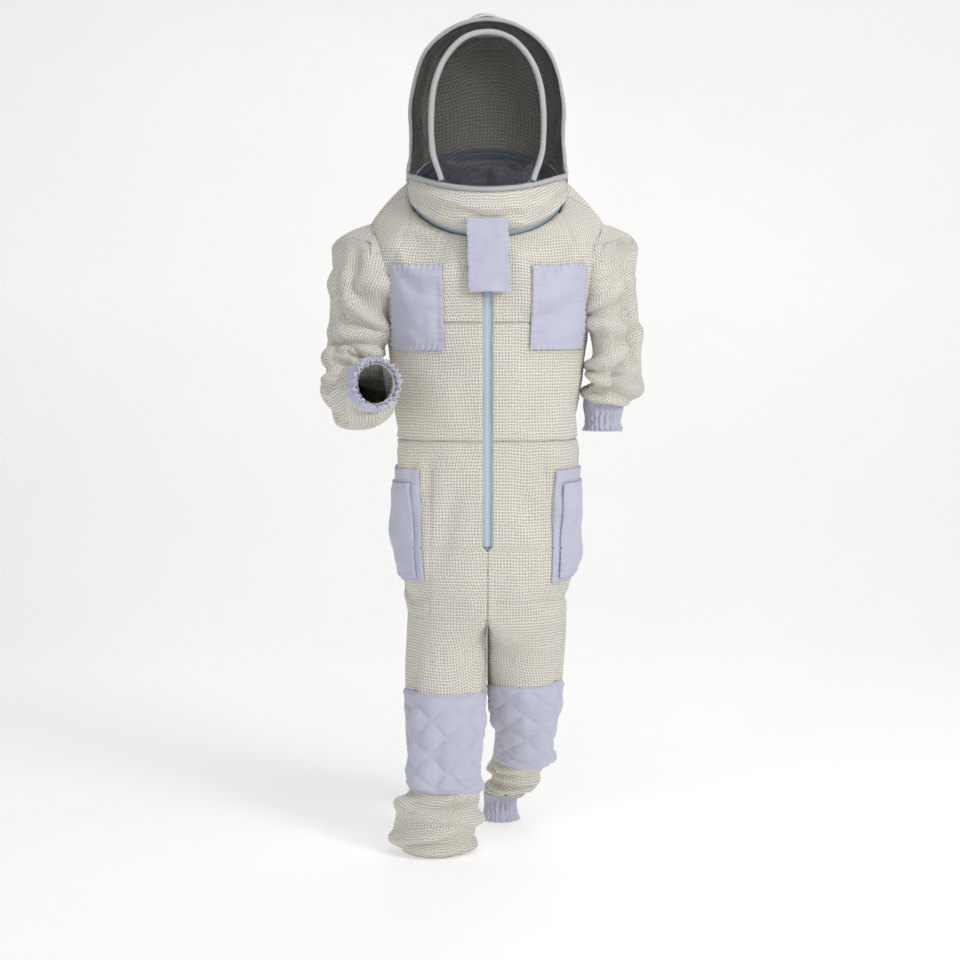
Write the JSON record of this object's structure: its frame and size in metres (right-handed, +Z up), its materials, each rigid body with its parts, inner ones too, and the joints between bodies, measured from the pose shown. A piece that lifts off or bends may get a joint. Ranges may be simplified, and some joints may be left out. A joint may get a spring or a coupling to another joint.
{
  "type": "beekeeping suit",
  "caption": "Full-body beekeeping suit of thick ventilated mesh with a zip-on domed veil hood, zipped front, patch pockets, quilted knee pads and elastic cuffs.",
  "frame": {"origin": "under the middle of the whole outline, at the height of the lowest hems", "axes": "+Z up, the suit faces -Y, the wearer's left is +X"},
  "size_m": [0.6552, 0.5146, 1.6735],
  "materials": {
    "mesh_fabric": "cream three-layer ventilated mesh, matt",
    "white_cotton": "white cotton drill with a faint lilac cast, matt",
    "quilted_cotton": "white cotton quilted in diamonds, matt",
    "veil_net": "black fencing-veil net, matt",
    "binding": "white bias binding, matt",
    "zip_tape": "pale blue woven tape",
    "zip_teeth": "pale blue moulded plastic, satin",
    "zip_metal": "grey die-cast metal, satin",
    "elastic": "white woven elastic",
    "hoop_wire": "drawn spring steel"
  },
  "bodies": {
    "suit": {"body_front_right": "mesh_fabric", "body_front_left": "mesh_fabric", "body_back": "mesh_fabric", "trouser_front_right": "mesh_fabric", "trouser_front_left": "mesh_fabric", "trouser_back": "mesh_fabric", "waist_elastic": "elastic", "yoke_front_right": "mesh_fabric", "yoke_front_left": "mesh_fabric", "yoke_back": "mesh_fabric", "leg_front_right": "mesh_fabric", "leg_back_right": "mesh_fabric", "leg_front_left": "mesh_fabric", "leg_back_left": "mesh_fabric", "crotch_gusset": "mesh_fabric", "ankle_cuff_right": "white_cotton", "ankle_elastic_right": "elastic", "ankle_cuff_left": "white_cotton", "ankle_elastic_left": "elastic", "knee_pad_right": "quilted_cotton", "knee_pad_left": "quilted_cotton", "chest_pocket_right": "white_cotton", "chest_pocket_left": "white_cotton", "hip_pocket_backing_right": "white_cotton", "hip_pocket_right": "white_cotton", "hip_pocket_backing_left": "white_cotton", "hip_pocket_left": "white_cotton", "front_zip_teeth_right": "zip_teeth", "front_zip_tape_right": "zip_tape", "front_zip_teeth_left": "zip_teeth", "front_zip_tape_left": "zip_tape", "front_zip_bottom_stop": "zip_metal", "hood_zip_teeth_body": "zip_teeth", "hood_zip_tape_body": "zip_tape", "inner_collar": "white_cotton"},
    "hood": {"hood_zip_teeth_hood": "zip_teeth", "hood_zip_tape_hood": "zip_tape", "hood_piping": "white_cotton", "hood_collar": "mesh_fabric", "hoop_binding_front": "binding", "hoop_wire_front": "hoop_wire", "hoop_binding_rear": "binding", "hoop_wire_rear": "hoop_wire", "veil_front_net": "veil_net", "veil_side_net": "veil_net", "hood_back": "mesh_fabric"},
    "throat_flap": {"throat_flap": "white_cotton"},
    "front_slider": {"front_slider": "zip_metal"},
    "front_pull": {"front_pull": "zip_metal"},
    "hood_slider_right": {"hood_slider_right": "zip_metal"},
    "hood_slider_left": {"hood_slider_left": "zip_metal"},
    "hood_pull_right": {"hood_pull_right": "zip_metal"},
    "hood_pull_left": {"hood_pull_left": "zip_metal"},
    "sleeve_right": {"sleeve_right": "mesh_fabric", "wrist_cuff_right": "white_cotton", "wrist_elastic_right": "elastic"},
    "sleeve_left": {"sleeve_left": "mesh_fabric", "wrist_cuff_left": "white_cotton", "wrist_elastic_left": "elastic"}
  },
  "joints": [
    {"name": "hood_fold_back", "type": "hinge", "parent": "suit", "child": "hood", "pos_m": [0.01336, 0.19527, 1.41376], "axis": [-1, 0, 0], "range_deg": [0, 80]},
    {"name": "throat_flap_lift", "type": "hinge", "parent": "hood", "child": "throat_flap", "pos_m": [0.01336, -0.08113, 1.264], "axis": [-1, 0, 0], "range_deg": [0, 75]},
    {"name": "front_zip_slide", "type": "slide", "parent": "suit", "child": "front_slider", "axis": [0, 0, -1], "range_m": [0, 0.55]},
    {"name": "front_pull_swing", "type": "hinge", "parent": "front_slider", "child": "front_pull", "pos_m": [0.01336, -0.06083, 1.1995], "axis": [-1, 0, 0], "range_deg": [0, 38]},
    {"name": "hood_zip_slide_right", "type": "hinge", "parent": "suit", "child": "hood_slider_right", "pos_m": [0.01336, 0.06707, 1.324], "axis": [0, 0.5736, -0.8192], "range_deg": [0, 130]},
    {"name": "hood_zip_slide_left", "type": "hinge", "parent": "suit", "child": "hood_slider_left", "pos_m": [0.01336, 0.06707, 1.324], "axis": [0, -0.5736, 0.8192], "range_deg": [0, 130]},
    {"name": "hood_pull_swing_right", "type": "hinge", "parent": "hood_slider_right", "child": "hood_pull_right", "pos_m": [-0.00217, -0.06003, 1.235], "axis": [0, -0.5736, 0.8192], "range_deg": [0, 35]},
    {"name": "hood_pull_swing_left", "type": "hinge", "parent": "hood_slider_left", "child": "hood_pull_left", "pos_m": [0.02888, -0.06003, 1.235], "axis": [0, 0.5736, -0.8192], "range_deg": [0, 35]},
    {"name": "shoulder_swing_right", "type": "hinge", "parent": "suit", "child": "sleeve_right", "pos_m": [-0.21564, 0.09507, 1.195], "axis": [-0.9877, 0, -0.1564], "range_deg": [-10, 30]},
    {"name": "shoulder_swing_left", "type": "hinge", "parent": "suit", "child": "sleeve_left", "pos_m": [0.24236, 0.09507, 1.195], "axis": [-0.9877, 0, 0.1564], "range_deg": [-25, 60]}
  ]
}
